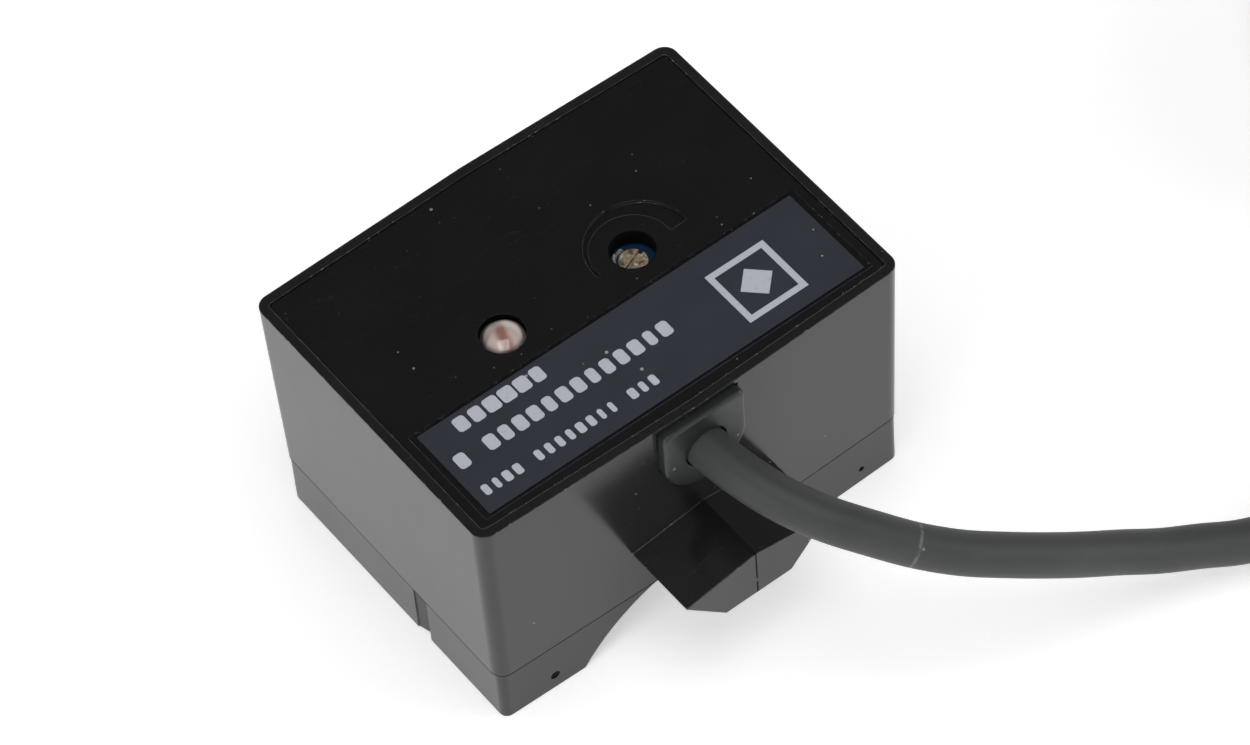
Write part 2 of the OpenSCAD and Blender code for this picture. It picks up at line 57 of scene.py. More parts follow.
MM = 0.001
CASE_LOW, CASE_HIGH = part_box("case_shell")
LAMP_AXIS = [(a + b) / 2 for a, b in zip(*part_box("lamp_lens"))]
ADJUSTER_AXIS = [(a + b) / 2 for a, b in zip(*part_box("adjuster_rotor"))]


# --- settings

def colour_property(name, description, default):
    return FloatVectorProperty(name=name, description=description, default=default, subtype="COLOR")


def length_property(name, description, default):
    return FloatProperty(name=name, description=description, default=default, unit="LENGTH")


def angle_property(name, description, default):
    return FloatProperty(name=name, description=description, default=default, subtype="ANGLE")


class StageSettings(bpy.types.PropertyGroup):
    """Camera and floor."""
    aim: FloatVectorProperty(name="Aim", description="Point the camera looks at", size=3,
                             default=(0.0031, -0.0014, 0.0135), subtype="TRANSLATION")
    distance: length_property("Distance", "From the aim to the camera", 0.5019)
    azimuth: angle_property("Azimuth", "Turn of the camera round the sensor", math.radians(-33.55))
    elevation: angle_property("Elevation", "Height of the camera above the floor", math.radians(53.16))
    lean: angle_property("Lean", "Roll of the camera about its own axis", math.radians(-5.24))
    lens: FloatProperty(name="Lens", description="Focal length on a 36 mm sensor, in millimetres",
                        default=169.28)
    floor_radius: length_property("Floor radius", "Flat part of the floor", 2.2)
    wall_height: length_property("Wall height", "Height of the upright wall above the bend", 1.1)


class CableSettings(bpy.types.PropertyGroup):
    """The cable, its coil and its cut end."""
    diameter: length_property("Diameter", "Outside of the jacket", 3.9 * MM)
    length: length_property("Length", "From the bushing to the cut end", 1.0)
    coil_radius: length_property("Coil radius", "At the middle of its turns", 20.2 * MM)
    coil_centre: FloatVectorProperty(name="Coil centre", description="Axis of the coil", size=2,
                                     default=(97 * MM, -18 * MM), subtype="TRANSLATION")
    sides: IntProperty(name="Sides", description="Faces round the jacket", default=24, min=12)
    jacket_colour: colour_property("Jacket", "Colour of the jacket", (0.040, 0.043, 0.0435))


class CoreSettings(bpy.types.PropertyGroup):
    """The three insulated conductors where they leave the cable's cut end."""
    diameter: length_property("Diameter", "Over the insulation", 1.2 * MM)
    free_length: length_property("Free length", "Insulated part on the coil", 34 * MM)
    tip_length: length_property("Tip", "Bare, tinned end", 5 * MM)
    brown: colour_property("Brown", "First conductor", (0.105, 0.035, 0.014))
    black: colour_property("Black", "Second conductor", (0.012, 0.012, 0.013))
    blue: colour_property("Blue", "Third conductor", (0.014, 0.085, 0.330))


class CaseSettings(bpy.types.PropertyGroup):
    """Black mouldings of the case, the base and the top panel."""
    colour: colour_property("Colour", "Colour of the black mouldings", (0.0105, 0.0108, 0.0115))
    edge_radius: length_property("Edge radius", "Softness of the moulded edges", 0.16 * MM)


class LabelSettings(bpy.types.PropertyGroup):
    """Film label and its plain print."""
    film: colour_property("Film", "Ground colour of the label", (0.0175, 0.0217, 0.032))
    print_colour: colour_property("Print", "Colour of the print", (0.50, 0.52, 0.58))


class LampSettings(bpy.types.PropertyGroup):
    """Clear lens and the moulding behind it."""
    resin: colour_property("Resin", "Tinted bar down the middle", (0.52, 0.25, 0.20))
    moulding: colour_property("Moulding", "Pale flanks on both sides of the bar", (0.95, 0.80, 0.74))


class AdjusterSettings(bpy.types.PropertyGroup):
    """Slotted rotor, its blue body and the dabs of locking lacquer."""
    metal: colour_property("Metal", "Worn metal of the rotor", (0.50, 0.35, 0.19))
    body: colour_property("Body", "Moulded body", (0.006, 0.035, 0.080))
    lacquer: colour_property("Lacquer", "Dried locking lacquer", (0.74, 0.74, 0.66))


SETTINGS = {
    "sensor_stage": StageSettings,
    "sensor_cable": CableSettings,
    "sensor_cores": CoreSettings,
    "sensor_case": CaseSettings,
    "sensor_label": LabelSettings,
    "sensor_lamp": LampSettings,
    "sensor_adjuster": AdjusterSettings,
}


# --- shader maths

class Value:
    """A node's output that takes part in arithmetic; each operator adds one Math node."""

    def __init__(self, nodes, socket):
        self.nodes = nodes
        self.socket = socket

    def maths(self, operation, *others):
        return self.nodes.node("Math", {"operation": operation}, dict(enumerate((self, *others))))

    def __add__(self, other):
        return self.maths("ADD", other)

    __radd__ = __add__

    def __mul__(self, other):
        return self.maths("MULTIPLY", other)

    __rmul__ = __mul__

    def __sub__(self, other):
        return self.maths("SUBTRACT", other)

    def __rsub__(self, other):
        return self.maths("MULTIPLY", -1.0) + other

    def __truediv__(self, other):
        return self.maths("DIVIDE", other)

    def __lt__(self, other):
        return self.maths("LESS_THAN", other)

    def __gt__(self, other):
        return self.maths("GREATER_THAN", other)

    def __abs__(self):
        return self.maths("ABSOLUTE")

    def floor(self):
        return self.maths("FLOOR")

    def fraction(self):
        return self.maths("FRACT")

    def lowest(self, other):
        return self.maths("MINIMUM", other)

    def highest(self, other):
        return self.maths("MAXIMUM", other)

    def step(self, low, high):
        """Rises smoothly from 0 at low to 1 at high."""
        return self.nodes.node(
            "MapRange", {"interpolation_type": "SMOOTHSTEP"},
            {"Value": self, "From Min": low, "From Max": high, "To Min": 0.0, "To Max": 1.0})


class Nodes:
    """One material's node tree."""

    def __init__(self, tree):
        self.tree = tree
        tree.nodes.clear()

    def node(self, kind, settings=None, inputs=None, output=0):
        """Adds a node: its settings first, then its sockets."""
        made = self.tree.nodes.new("ShaderNode" + kind)
        for name, value in (settings or {}).items():
            setattr(made, name, value)
        for name, value in (inputs or {}).items():
            socket = made.inputs[name]
            if isinstance(value, Value):
                self.tree.links.new(value.socket, socket)
            elif socket.type == "RGBA" and len(value) == 3:
                socket.default_value = (*value, 1.0)
            else:
                socket.default_value = value
        return Value(self, made.outputs[output]) if made.outputs else None

    def place(self, scale=(1.0, 1.0, 1.0), turn=(0.0, 0.0, 0.0), centre=(0.0, 0.0, 0.0)):
        """Coordinates in metres, measured from centre, turned, then scaled."""
        coordinates = self.node("TexCoord", output="Object")
        moved = self.node("VectorMath", {"operation": "SUBTRACT"}, {0: coordinates, 1: centre})
        return self.node("Mapping", None, {"Vector": moved, "Rotation": turn, "Scale": scale})

    def axes(self, vector):
        """The three numbers of a vector."""
        apart = self.node("SeparateXYZ", None, {"Vector": vector})
        outputs = apart.socket.node.outputs
        return [Value(self, outputs[i]) for i in range(3)]

    def noise(self, place, scale, detail=4.0):
        """Cloudy values about 0.5."""
        return self.node("TexNoise", None, {"Vector": place, "Scale": scale, "Detail": detail,
                                            "Roughness": 0.55})

    def cells(self, place, scale, output="Distance"):
        """How far the nearest of some scattered points is, or that point's own random colour."""
        return self.node("TexVoronoi", None, {"Vector": place, "Scale": scale}, output=output)

    def mix(self, factor, low, high):
        """Colour low where factor is 0, and high where it is 1."""
        return self.node("Mix", {"data_type": "RGBA"}, {0: factor, 6: low, 7: high}, output=2)

    def specks(self, place, scale, size, share):
        """Scattered round grains: 1 inside the grain of the few cells that hold one."""
        near = self.cells(place, scale)
        lot = self.axes(self.cells(place, scale, output="Color"))
        return (near < lot[1] * size + 0.3 * size) * (lot[0] > 1.0 - share)

    def strokes(self, place, scale, width, share):
        """Short hairline marks: the ridges of a stretched noise, kept in scattered patches."""
        ridge = abs(self.noise(place, scale, 2.0) - 0.5)
        patch = self.noise(place, scale * 0.37, 1.0)
        return (1.0 - ridge.step(0.0, width)) * patch.step(1.0 - share, 1.0 - share + 0.05)

    def edges(self, radius):
        """1 along sharp edges, within about radius of them, and 0 elsewhere."""
        soft = self.node("Bevel", {"samples": 6}, {"Radius": radius})
        flat = self.node("NewGeometry", output="Normal")
        alike = self.node("VectorMath", {"operation": "DOT_PRODUCT"}, {0: soft, 1: flat}, output=1)
        return (1.0 - alike).step(0.015, 0.16)

    def surface(self, **sockets):
        """Ends the tree in a Principled shader; rounded and height shape its Normal, and seam is
        where the finish gives way to a matt near-black shader: painted shade in gaps and hollows."""
        rounded = sockets.pop("rounded", None)
        height = sockets.pop("height", None)
        lift = sockets.pop("lift", 0.00001)
        seam = sockets.pop("seam", None)
        normal = None
        if rounded is not None:
            normal = self.node("Bevel", {"samples": 6}, {"Radius": rounded})
        if height is not None:
            inputs = {"Height": height, "Distance": lift, "Strength": 1.0}
            if normal is not None:
                inputs["Normal"] = normal
            normal = self.node("Bump", None, inputs)
        inputs = {name.replace("_", " "): value for name, value in sockets.items()}
        if normal is not None:
            inputs["Normal"] = normal
        shader = self.node("BsdfPrincipled", None, inputs)
        if seam is not None:
            # Painted shade: a matt near-black shader for gaps and hole walls.
            gap = self.node("BsdfPrincipled", None, {"Base Color": (0.003, 0.003, 0.003), "Roughness": 1.0,
                                                     "Specular IOR Level": 0.05})
            shader = self.node("MixShader", None, {0: seam, 1: shader, 2: gap})
        self.node("OutputMaterial", None, {"Surface": shader})


def material(name):
    """A new material and its empty node tree."""
    made = bpy.data.materials.new(name)
    made.use_nodes = True
    return made, Nodes(made.node_tree)


def dress(piece, finish):
    """Gives a piece or a node one finish over all of it."""
    if piece.data.materials:
        for i in range(len(piece.data.materials)):
            piece.data.materials[i] = finish
    else:
        piece.data.materials.append(finish)


# --- surfaces

def grid_piece(name, grid, finish, round_u=True, round_v=False, marks=None):
    """A smooth mesh from grid[i, j], row i along the piece and column j round it.

    round_u joins the last column to the first and round_v the last row to the first. Rows that
    shrink to a point close as poles, because points in one place are merged. marks, if given,
    holds the UV place of each row: U runs once round the columns and V is marks.
    """
    rows, columns = grid.shape[:2]
    i, j = np.meshgrid(np.arange(rows - (not round_v)), np.arange(columns - (not round_u)), indexing="ij")
    i, j = i.ravel(), j.ravel()
    near, far = i, (i + 1) % rows
    left, right = j, (j + 1) % columns
    faces = np.stack([near * columns + left, near * columns + right,
                      far * columns + right, far * columns + left], 1)
    mesh = bpy.data.meshes.new(name)
    mesh.vertices.add(rows * columns)
    mesh.vertices.foreach_set("co", grid.reshape(-1))
    mesh.loops.add(faces.size)
    mesh.loops.foreach_set("vertex_index", faces.ravel())
    mesh.polygons.add(len(faces))
    mesh.polygons.foreach_set("loop_start", np.arange(0, faces.size, 4))
    mesh.polygons.foreach_set("use_smooth", np.ones(len(faces), bool))
    mesh.update(calc_edges=True)
    if marks is not None:
        across = np.stack([j, j + 1, j + 1, j], 1) / columns
        marks = np.append(marks, 2 * marks[-1] - marks[-2])
        along = marks[np.stack([i, i, i + 1, i + 1], 1)]
        layer = mesh.uv_layers.new(name="UVMap")
        layer.data.foreach_set("uv", np.stack([across, along], 2).ravel())
    merge(mesh)
    piece = bpy.data.objects.new(name, mesh)
    bpy.context.scene.collection.objects.link(piece)
    dress(piece, finish)
    return piece


def merge(mesh, reach=1e-7):
    """Merges points that share a place, drops faces that have shrunk away and turns faces outwards."""
    work = bmesh.new()
    work.from_mesh(mesh)
    bmesh.ops.remove_doubles(work, verts=work.verts, dist=reach)
    bmesh.ops.dissolve_degenerate(work, edges=work.edges, dist=reach)
    bmesh.ops.recalc_face_normals(work, faces=work.faces)
    work.to_mesh(mesh)
    work.free()


def curve_through(points, steps):
    """A smooth line through the points: each stretch is the cubic whose slope at a point is half the
    step from the point before it to the point after it, cut into steps parts."""
    held = np.vstack([2 * points[0] - points[1], points, 2 * points[-1] - points[-2]])
    u = np.linspace(0.0, 1.0, steps, endpoint=False)[:, None, None]
    a, b, c, d = held[:-3], held[1:-2], held[2:-1], held[3:]
    cubic = 0.5 * (2 * b + (c - a) * u + (2 * a - 5 * b + 4 * c - d) * u**2 + (3 * b - a - 3 * c + d) * u**3)
    return np.vstack([cubic.transpose(1, 0, 2).reshape(-1, 3), points[-1:]])


def distance_along(line):
    """How far each point of a line is from its start."""
    return np.append(0.0, np.cumsum(np.linalg.norm(np.diff(line, axis=0), axis=1)))


def respace(line, spacing):
    """The same line with points evenly apart, about spacing from each other."""
    done = distance_along(line)
    wanted = np.linspace(0.0, done[-1], int(round(done[-1] / spacing)) + 1)
    return np.stack([np.interp(wanted, done, line[:, k]) for k in range(3)], 1)


def frames_along(line):
    """Across and up at each point of a line that nowhere runs upright: across is level and square to
    the line, and up is square to both."""
    forward = np.gradient(line, axis=0)
    forward /= np.linalg.norm(forward, axis=1)[:, None]
    across = np.cross(forward, [0.0, 0.0, 1.0])
    across /= np.linalg.norm(across, axis=1)[:, None]
    return forward, across, np.cross(across, forward)


def tube(line, radii, sides, offsets=0.0):
    """Rings of radii[i] about point i of the line, shifted along it by offsets[i]. A row of radii[i]
    gives each point of the ring its own."""
    forward, across, up = frames_along(line)
    angle = np.linspace(0.0, 2 * np.pi, sides, endpoint=False)
    spoke = across[:, None] * np.cos(angle)[None, :, None] + up[:, None] * np.sin(angle)[None, :, None]
    centres = line + forward * np.reshape(offsets, (-1, 1))
    return centres[:, None] + spoke * radii.reshape(len(line), -1, 1)


def turned(profile, centre, steps=96):
    """Turns a profile of (radius, height) points about the upright axis through centre."""
    angle = np.linspace(0.0, 2 * np.pi, steps, endpoint=False)
    radius, height = profile[:, :1], profile[:, 1:]
    return np.stack([centre[0] + radius * np.cos(angle), centre[1] + radius * np.sin(angle),
                     height + 0 * angle], 2)


def arc(centre, radius, start, stop, steps):
    """Points of a circle about centre in a plane, from angle start to stop in degrees."""
    angle = np.radians(np.linspace(start, stop, steps))
    return np.stack([centre[0] + radius * np.cos(angle), centre[1] + radius * np.sin(angle)], 1)


def eased(x, start, stop):
    """Rises from 0 at start to 1 at stop as half a cosine wave."""
    return (1.0 - np.cos(np.pi * np.clip((x - start) / (stop - start), 0.0, 1.0))) / 2


# --- finishes

def black_moulding(name, colour, edge, gloss, grain, dust, seam=None):
    """Polished black plastic: soft edges, lightened by wear and by painted highlight, faint mould grain,
    lint and fine dust that gathers at the edges, and a few hairline marks. seam, if given, makes
    the mask of painted shade in the gaps."""
    made, n = material(name)
    here = n.place()
    cloudy = n.noise(here, 140.0, 5.0)
    fine = n.noise(here, 2600.0, 2.0)
    sharp = n.edges(edge)
    lint = n.specks(here, 900.0, 0.10, dust)
    powder = n.specks(here, 2300.0, 0.14, dust) * cloudy.step(0.42, 0.60)
    caught = n.specks(here, 2700.0, 0.36, 0.55) * sharp * n.noise(here, 500.0, 2.0).step(0.44, 0.56)
    dirt = lint.highest(powder).highest((caught * 1.5).lowest(1.0))
    hair = n.strokes(n.place(scale=(1.0, 6.0, 1.0), turn=(0.2, 0.1, 0.7)), 420.0, 0.008, 0.36)
    smear = cloudy.step(0.40, 0.75)
    base = n.mix(smear * 0.4, colour, tuple(c * 1.5 for c in colour))
    # Edges lightened to grey: partly wear, partly painted highlight.
    worn_and_highlight = sharp * n.noise(here, 1300.0, 3.0).step(0.40, 0.66)
    base = n.mix(worn_and_highlight * 0.22, base, (0.16, 0.17, 0.17))
    n.surface(
        Base_Color=n.mix(dirt * 0.45 + hair * 0.05, base, (0.46, 0.46, 0.44)),
        Roughness=gloss + cloudy * 0.05 + smear * 0.04 + dirt * 0.35 + hair * 0.08 + worn_and_highlight * 0.12,
        IOR=1.5,
        rounded=edge,
        height=fine * grain + cloudy * 0.8 * grain + dirt * 0.8 - hair * 0.10,
        lift=0.000012,
        seam=seam(n, here) if seam else None,
    )
    return made


def case_painted_shade(n, here):
    """The painted shadow line along the case's lower edge, and a painted shade line down the middle of
    each tongue's end, at the mould's parting line."""
    x, y, z = n.axes(here)
    ragged = n.noise(here, 800.0, 2.0)
    joint_shadow = 1.0 - (z + ragged * 0.00006).step(CASE_LOW[2] + 0.11 * MM, CASE_LOW[2] + 0.19 * MM)
    tongue = (1.0 - abs(x + 0.0001).step(0.05 * MM, 0.11 * MM)) * (abs(y) > CASE_HIGH[1] - 0.2 * MM)
    return joint_shadow.highest(tongue * ragged.step(0.25, 0.40)) * 0.9


def panel_painted_shade(n, here):
    """Painted shade on the walls of the panel's two round holes, which light doesn't reach."""
    x, y, _ = n.axes(here)
    shaded_hole_walls = [(x - place[0]) * (x - place[0]) + (y - place[1]) * (y - place[1]) < (2.06 * MM)**2
             for place in (LAMP_AXIS, ADJUSTER_AXIS)]
    return shaded_hole_walls[0].highest(shaded_hole_walls[1]) * 0.95


def rotor_finish(colour):
    """Worn plated metal: crossing file marks with painted glints along them, painted highlights on
    the edges, and dark dirt.
    """
    made, n = material("rotor metal")
    here = n.place()
    marks = n.noise(n.place(scale=(1.0, 7.0, 1.0), turn=(0.0, 0.0, math.radians(50))), 1700.0, 3.0)
    cross = n.noise(n.place(scale=(6.0, 1.0, 1.0)), 1500.0, 2.0)
    cloudy = n.noise(here, 1500.0, 3.0)
    sharp = n.edges(0.09 * MM)
    glint = (marks * 0.6 + cross * 0.4).step(0.50, 0.60)
    stain = (1.0 - cloudy.step(0.36, 0.50)) * (1.0 - sharp)
    # Painted glints: near-white along the file marks.
    base = n.mix(glint, colour, (0.96, 0.90, 0.78))
    base = n.mix(stain * 0.85, base, (0.07, 0.05, 0.03))
    n.surface(
        # Painted highlight: the edges near-white.
        Base_Color=n.mix(sharp * 0.8, base, (0.98, 0.94, 0.84)),
        Metallic=0.55 - glint * 0.25 - sharp * 0.2,
        Roughness=0.22 + marks * 0.16 + stain * 0.3,
        rounded=0.09 * MM,
        height=marks * 0.9 + cross * 0.7,
        lift=0.00008,
    )
    return made


def cable_jacket_finish(colour):
    """Matte grey PVC: fine pores, handling marks, lighter rub marks and a few grains of dust."""
    made, n = material("cable jacket")
    here = n.place()
    across, along, _ = n.axes(n.node("TexCoord", output="UV"))
    cloudy = n.noise(here, 90.0, 5.0)
    pores = n.noise(here, 4200.0, 3.0)
    drawn = n.noise(n.node("CombineXYZ", None, {"X": across * 60.0, "Y": along * 90.0}), 1.0, 3.0)
    dust = n.specks(here, 700.0, 0.14, 0.05)
    ring = (1.0 - abs(along - 0.0273).step(0.0, 0.00022)) * n.noise(here, 900.0, 2.0).step(0.42, 0.60)
    rub = n.strokes(n.place(scale=(1.0, 1.0, 3.0)), 260.0, 0.02, 0.42)
    light = (cloudy.step(0.35, 0.75) * 0.35 + drawn * 0.12 + rub * 0.12).lowest(1.0)
    base = n.mix(light, tuple(c * 0.80 for c in colour), tuple(c * 1.50 for c in colour))
    n.surface(
        Base_Color=n.mix((dust * 0.5 + ring * 0.30).lowest(1.0), base, (0.34, 0.35, 0.35)),
        Roughness=0.52 + pores * 0.12 - cloudy * 0.10 + dust * 0.2,
        IOR=1.48,
        height=pores * 0.5 + drawn * 0.4 + dust * 0.8 + ring * 0.7,
        lift=0.00001,
    )
    return made


def rubber_finish(name, colour, gloss=0.50):
    """Moulded rubber: dull, slightly grey with bloom, with a fine tooth."""
    made, n = material(name)
    here = n.place()
    cloudy = n.noise(here, 260.0, 4.0)
    tooth = n.noise(here, 5200.0, 2.0)
    dust = n.specks(here, 900.0, 0.16, 0.10)
    base = n.mix(cloudy.step(0.35, 0.7) * 0.6, colour, tuple(c * 1.8 for c in colour))
    n.surface(
        Base_Color=n.mix(dust * 0.4, base, (0.36, 0.36, 0.35)),
        Roughness=gloss + tooth * 0.12 + cloudy * 0.08,
        IOR=1.5,
        height=tooth * 0.6 + dust * 0.8,
        lift=0.00001,
    )
    return made


def plastic_finish(name, colour, gloss=0.4, spread=1.35):
    """Plain moulded or extruded plastic with slight shade, gloss and surface changes."""
    made, n = material(name)
    here = n.place()
    cloudy = n.noise(here, 500.0, 4.0)
    fine = n.noise(here, 6000.0, 2.0)
    dust = n.specks(here, 1300.0, 0.15, 0.06)
    base = n.mix(cloudy, tuple(c / spread for c in colour), tuple(min(c * spread, 1.0) for c in colour))
    n.surface(
        Base_Color=n.mix(dust * 0.4, base, (0.55, 0.54, 0.50)),
        Roughness=gloss + fine * 0.10 + cloudy * 0.08,
        rounded=0.00008,
        height=fine * 0.5 + cloudy * 0.3,
        lift=0.000006,
    )
    return made


def metal_finish(name, colour, gloss=0.28, turn=(0.0, 0.0, 0.0)):
    """Plated or drawn metal: fine lines along one way, dull spots and a little dirt."""
    made, n = material(name)
    here = n.place()
    lines = n.noise(n.place(scale=(1.0, 14.0, 14.0), turn=turn), 900.0, 3.0)
    cloudy = n.noise(here, 700.0, 4.0)
    stain = n.noise(here, 1500.0, 3.0).step(0.52, 0.70)
    base = n.mix(stain * 0.6, colour, tuple(c * 0.42 for c in colour))
    n.surface(
        Base_Color=base,
        Metallic=1.0 - stain * 0.25,
        Roughness=gloss + lines * 0.14 + cloudy * 0.10 + stain * 0.20,
        rounded=0.00006,
        height=lines * 0.6 + stain * 0.3,
        lift=0.000005,
    )
    return made


def board_finish():
    """Green solder mask over glass cloth: weave in relief, dark tracks and bare fibre at the edges."""
    made, n = material("circuit board")
    here = n.place()
    x, y, _ = n.axes(here)
    weave = abs((x * 1700.0).fraction() - 0.5) + abs((y * 1700.0).fraction() - 0.5)
    path = n.noise(n.place(scale=(1.0, 2.2, 1.0)), 240.0, 1.0)
    track = 1.0 - abs(path - 0.5).step(0.03, 0.035)
    cloudy = n.noise(here, 300.0, 4.0)
    base = n.mix(track, (0.010, 0.075, 0.030), (0.020, 0.150, 0.058))
    n.surface(
        Base_Color=n.mix(cloudy * 0.3, base, (0.030, 0.120, 0.050)),
        Roughness=0.28 + cloudy * 0.15 + weave * 0.05,
        height=track * 1.0 + weave * 0.25,
        lift=0.00002,
    )
    return made


# --- stage

class SENSOR_OT_stage(bpy.types.Operator):
    """Makes the camera, the pale swept floor and the soft lights"""
    bl_idname = "sensor.stage"
    bl_label = "Stage"

    def execute(self, context):
        s = context.scene.sensor_stage
        self.camera(context, s)
        self.floor(s)
        self.lights()
        self.world(context)
        return {"FINISHED"}

    def camera(self, context, s):
        """The camera stands back from the aim at its azimuth and elevation, then leans about its axis."""
        level = math.cos(s.elevation)
        back = Vector((math.sin(s.azimuth) * level, -math.cos(s.azimuth) * level, math.sin(s.elevation)))
        data = bpy.data.cameras.new("view")
        data.lens = s.lens
        data.sensor_width = 36.0
        data.sensor_fit = "HORIZONTAL"
        data.clip_start = 0.01
        data.clip_end = 50.0
        made = bpy.data.objects.new("view", data)
        made.location = Vector(s.aim) + back * s.distance
        straight = (-back).to_track_quat("-Z", "Y")
        made.rotation_euler = (straight @ Euler((0.0, 0.0, s.lean)).to_quaternion()).to_euler()
        context.scene.collection.objects.link(made)
        context.scene.camera = made

    def floor(self, s):
        """A disc that sweeps up into a wall along a quarter circle."""
        bend = 0.8
        low = -0.00003
        profile = np.vstack([
            [[0.0, low], [s.floor_radius / 8, low], [s.floor_radius, low]],
            arc((s.floor_radius, bend + low), bend, -90, 0, 16),
            [[s.floor_radius + bend, s.wall_height + bend]],
        ])
        made, n = material("pale paper")
        grain = n.noise(n.place(), 900.0, 4.0)
        n.surface(Base_Color=n.mix(grain, (0.86, 0.86, 0.86), (0.90, 0.90, 0.90)), Roughness=0.9,
                  Emission_Color=(1.0, 1.0, 1.0), Emission_Strength=0.42, height=grain, lift=0.00002)
        piece = grid_piece("paper_sweep", turned(profile, (0.0, 0.0)), made)
        piece.data.flip_normals()

    def lights(self):
        """Soft boxes: one overhead and two low at the sides, all clear of the panel's mirror angle."""
        boxes = {
            "overhead": ((-0.15, -0.25, 1.5), 0.95, 8.4),
            "left": ((-1.35, -0.25, 0.85), 0.8, 4.6),
            "right": ((1.1, -1.0, 0.8), 0.8, 4.6),
        }
        for name, (place, size, power) in boxes.items():
            data = bpy.data.lights.new(name, "AREA")
            data.size = size
            data.energy = power
            made = bpy.data.objects.new(name, data)
            made.location = place
            made.rotation_euler = (-Vector(place)).to_track_quat("-Z", "Y").to_euler()
            bpy.context.scene.collection.objects.link(made)

    def world(self, context):
        """Even, dim surroundings."""
        world = bpy.data.worlds.new("surroundings")
        context.scene.view_settings.view_transform = "Standard"
        world.use_nodes = True
        n = Nodes(world.node_tree)
        glow = n.node("Background", None, {"Color": (1.0, 1.0, 1.0), "Strength": 0.10})
        n.node("OutputWorld", None, {"Surface": glow})
        context.scene.world = world


# --- cable

def cable_route():
    """The cable's line in metres: from its inner end, out of the bushing, down to the floor and
    round the coil. The listed points are the same as the model's own."""
    low = 1.95
    return np.array([
        [0, -9.5, 22.25], [0, -13.4, 22.25],
        [0, -17.25, 22.2], [0.6, -21.2, 21.9], [1.8, -24.9, 21.3], [3.7, -28.2, 20.4],
        [6.2, -31.1, 19.2], [8.9, -33.6, 17.7], [12, -35.6, 16], [15.2, -37, 14.3],
        [18.5, -38.3, 12.6], [21.9, -39.4, 10.8], [25.3, -40.4, 9.1], [28.7, -41.5, 7.4],
        [32.3, -42.6, 6], [35.8, -43.8, 4.7], [39.6, -44.7, 3.7], [43.4, -45.3, 2.9],
        [47.3, -45.6, 2.3], [51.2, -45.7, 2], [55.2, -45.6, low], [60.2, -45.3, low],
        [65.2, -44.9, low], [70.2, -44.4, low], [75.2, -43.8, low], [80.2, -43.2, low],
        [85.6, -42.7, low], [91, -42.3, low],
    ]) * MM


def coil_route(s):
    """The coil's turns: column 0 is the outermost and row 0 the lowest. The line steps inward over two
    turns, climbs a row, steps outward, climbs again and steps inward; every step and climb takes a
    quarter of a turn and follows half a cosine wave."""
    turns = np.arange(0.0, 7.4, 1 / 24)
    steps = ((0.75, 1), (1.75, 1), (3.25, -1), (4.25, -1), (5.75, 1))
    climbs = (2.5, 5.0)
    column = sum(way * eased(turns, start, start + 0.25) for start, way in steps)
    row = sum(eased(turns, start, start + 0.25) for start in climbs)
    radius = s.coil_radius + s.diameter * (1 - column)
    angle = 2 * np.pi * turns - np.pi / 2
    return np.stack([s.coil_centre[0] + radius * np.cos(angle), s.coil_centre[1] + radius * np.sin(angle),
                     s.diameter * (row + 0.5)], 1)


def cable_line(s):
    """The whole line, cut where the cable is as long as it should be, with points 1 mm apart."""
    route = cable_route()
    inside = np.linalg.norm(route[2] - route[0])
    line = curve_through(np.vstack([route, coil_route(s)]), 8)
    done = distance_along(line)
    keep = done < s.length + inside
    return respace(line[keep], 1.0 * MM)


class SENSOR_OT_cable(bpy.types.Operator):
    """Makes the cable's jacket, from inside the case to its cut end on the coil"""
    bl_idname = "sensor.cable"
    bl_label = "Cable"

    def execute(self, context):
        """Both ends have extra points a ninth of a step apart, where the tube closes: a flat cap inside
        the case and, at the cut, a rounded edge and then the wall back to the hollow's floor."""
        s = context.scene.sensor_cable
        line = cable_line(s)
        outside = s.diameter / 2
        hollow = outside - 0.62 * MM
        edge, bore_depth = 0.12 * MM, 2.2 * MM
        first, last = line[0] - line[1], line[-1] - line[-2]
        past = np.arange(1, 5) / 9
        start = [line[0] + first * k / 9 for k in (2, 1)]
        end = [line[-1] + last * k / 9 for k in range(1, 5)]
        path = np.vstack([start, line, end])
        radii = np.concatenate([[0.0, outside], np.full(len(line), outside),
                                [outside - edge, hollow, hollow, 0.0]])
        offsets = np.zeros(len(path))
        offsets[-4:] = np.array([edge, edge, -bore_depth, -bore_depth]) - past * np.linalg.norm(last)
        done = distance_along(line)
        marks = np.concatenate([[0.0, 0.0], done, np.full(4, done[-1])])
        jacket = grid_piece("cable_jacket", tube(path, radii, s.sides, offsets),
                            cable_jacket_finish(s.jacket_colour), marks=marks)
        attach(jacket, "sensor")
        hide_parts("cable_entry", "cable_run", "cable_coil")
        return {"FINISHED"}


def core_line(index, cable, cores):
    """One conductor's line on the coil, and how much of it is insulated. It starts inside the jacket,
    then moves sideways and down to its own circle on the ledge of the coil's inner turns."""
    line = cable_line(cable)
    centre = np.array([*cable.coil_centre, 0.0])
    end = line[-1] - centre
    start_angle = math.atan2(end[1], end[0])
    start_radius = math.hypot(end[0], end[1])
    clear, pitch, beside = 0.15 * MM, 1.25 * MM, 0.63 * MM
    hidden, reach, moved_by, down_by = -2.0, 44.6, 13 * MM, 9 * MM
    ledge = cable.coil_radius - cable.diameter / 2 - cores.diameter / 2 - clear
    radius_end = ledge - index * pitch
    low = 2 * cable.diameter + cores.diameter / 2 + 0.05 * MM
    side = (1 - index) * beside
    lift = 0.72 * MM if index == 1 else -0.36 * MM
    run = np.linspace(hidden, reach, 140) * MM
    moved = eased(run, 0.5 * MM, moved_by)
    radius = start_radius + side + (radius_end - start_radius - side) * moved
    height = end[2] + lift + (low - end[2] - lift) * eased(run, 0.0, down_by)
    angle = start_angle + np.cumsum(np.gradient(run) / radius) - np.gradient(run)[0] / radius[0]
    angle += start_angle - np.interp(0.0, run, angle)
    return centre + np.stack([radius * np.cos(angle), radius * np.sin(angle), height], 1)


